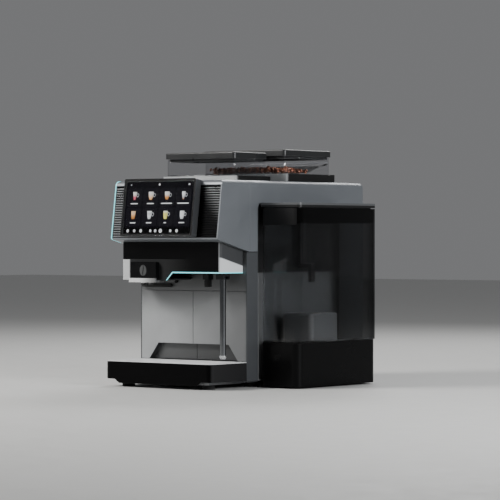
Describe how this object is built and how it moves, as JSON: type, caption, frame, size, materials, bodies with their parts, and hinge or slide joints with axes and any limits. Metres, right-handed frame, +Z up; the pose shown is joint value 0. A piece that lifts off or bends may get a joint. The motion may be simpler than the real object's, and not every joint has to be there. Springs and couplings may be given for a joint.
{
  "type": "hot coffee vending machine",
  "caption": "Countertop bean-to-cup hot coffee machine: tilted touch display, height-adjustable spout, steam wand, drip tray, top hoppers and a side water tank.",
  "frame": {"origin": "middle of the machine's footprint at counter height, side tank included", "axes": "+X to the right of a user who stands in front, +Y to the rear, +Z up"},
  "size_m": [0.412, 0.551, 0.517],
  "materials": {
    "hood_paint": "satin blue-grey paint",
    "side_paint": "satin blue-grey paint",
    "column_dark": "fine texture dark grey",
    "silver_panel": "satin silver paint",
    "ribs": "black anodised with bright rib edges",
    "gloss_black": "piano black",
    "satin_black": "moulded, fine grain",
    "display_body": "dark grey, satin",
    "display_glass": "clear cover glass",
    "display_lcd": "lit picture panel",
    "light_cyan": "lit light guide",
    "bright_steel": "brushed stainless",
    "chrome": "polished",
    "white_trim": "gloss white",
    "rubber": "matt",
    "clear_bin": "smoked clear plastic",
    "tank_clear": "smoked clear plastic",
    "lid_grey": "satin grey",
    "filter_grey": "matt grey",
    "sheet_steel": "zinc plated sheet",
    "boiler_steel": "stainless",
    "brass": "machined",
    "motor_dark": "painted",
    "board_green": "circuit board",
    "hose_silicone": "silicone",
    "screw_steel": "zinc plated",
    "burr_steel": "hardened"
  },
  "bodies": {
    "machine": {"base_pan": "sheet_steel", "rubber_feet": "rubber", "rear_panel": "satin_black", "left_side_panel": "side_paint", "right_side_panel": "side_paint", "left_column": "column_dark", "right_column": "column_dark", "head_hood": "hood_paint", "top_panel": "side_paint", "ribbed_fascia": "ribs", "display_housing": "display_body", "display_glass": "display_glass", "display_screen": "display_lcd", "edge_light": "light_cyan", "dispense_head": "silver_panel", "dispense_light": "light_cyan", "hot_water_outlet": "satin_black", "steam_socket": "satin_black", "bay_upper_panel": "silver_panel", "cup_sensor": "gloss_black", "drip_edge": "rubber", "tank_dock": "satin_black", "tank_base": "gloss_black", "front_hopper_frame": "lid_grey", "front_hopper_bin": "clear_bin", "rear_hopper_frame": "lid_grey", "rear_hopper_bin": "clear_bin", "grinder_housing": "motor_dark", "grinder_motor": "motor_dark", "inner_frame": "sheet_steel", "brew_cylinder": "satin_black", "coffee_boiler": "boiler_steel", "steam_boiler": "boiler_steel", "water_pump": "brass", "power_supply": "sheet_steel", "control_board": "board_green", "water_hoses": "hose_silicone", "power_inlet": "satin_black", "case_screws": "screw_steel"},
    "coffee_spout": {"spout_carriage": "white_trim", "spout_cover": "gloss_black"},
    "steam_arm": {"steam_wand": "chrome", "steam_tip": "bright_steel"},
    "grounds_drawer": {"drawer_front": "silver_panel", "grounds_bin": "satin_black"},
    "service_panel": {"service_cover": "silver_panel"},
    "drip_tray": {"tray_surround": "gloss_black", "drip_basin": "satin_black", "drip_grid": "bright_steel"},
    "water_tank": {"tank_body": "tank_clear", "tank_valve": "satin_black", "tank_grip": "satin_black", "tank_filter": "filter_grey", "tank_level_sensor": "satin_black"},
    "water_tank_lid": {"tank_lid": "lid_grey"},
    "front_lid": {"front_hopper_lid": "lid_grey"},
    "rear_lid": {"rear_hopper_lid": "lid_grey"},
    "burr": {"grinding_burr": "burr_steel"},
    "piston": {"brew_piston": "bright_steel"},
    "rocker": {"power_rocker": "satin_black"}
  },
  "joints": [
    {"name": "spout_height", "type": "slide", "parent": "machine", "child": "coffee_spout", "axis": [0, 0, 1], "range_m": [-0.09, 0]},
    {"name": "wand_swing", "type": "hinge", "parent": "machine", "child": "steam_arm", "pos_m": [0.071, -0.2075, 0.24], "axis": [0, -1, 0], "range_deg": [0, 35]},
    {"name": "drawer_slide", "type": "slide", "parent": "machine", "child": "grounds_drawer", "axis": [0, -1, 0], "range_m": [0, 0.15]},
    {"name": "service_panel_pull", "type": "slide", "parent": "machine", "child": "service_panel", "axis": [0, -1, 0], "range_m": [0, 0.03]},
    {"name": "drip_tray_slide", "type": "slide", "parent": "machine", "child": "drip_tray", "axis": [0, -1, 0], "range_m": [0, 0.2]},
    {"name": "tank_lift", "type": "slide", "parent": "machine", "child": "water_tank", "axis": [0, 0, 1], "range_m": [0, 0.25]},
    {"name": "tank_lid_hinge", "type": "hinge", "parent": "water_tank", "child": "water_tank_lid", "pos_m": [0.149, 0.1635, 0.391], "axis": [-1, 0, 0], "range_deg": [0, 100]},
    {"name": "front_lid_lift", "type": "slide", "parent": "machine", "child": "front_lid", "axis": [0, 0, 1], "range_m": [0, 0.06]},
    {"name": "rear_lid_lift", "type": "slide", "parent": "machine", "child": "rear_lid", "axis": [0, 0, 1], "range_m": [0, 0.06]},
    {"name": "burr_spin", "type": "hinge", "parent": "machine", "child": "burr", "pos_m": [-0.0575, 0.0805, 0.35], "axis": [0, 0, 1], "continuous": true},
    {"name": "piston_travel", "type": "slide", "parent": "machine", "child": "piston", "axis": [0, 0, 1], "range_m": [0, 0.03]},
    {"name": "rocker_tilt", "type": "hinge", "parent": "machine", "child": "rocker", "pos_m": [-0.144, 0.2685, 0.112], "axis": [1, 0, 0], "range_deg": [0, 16]}
  ]
}
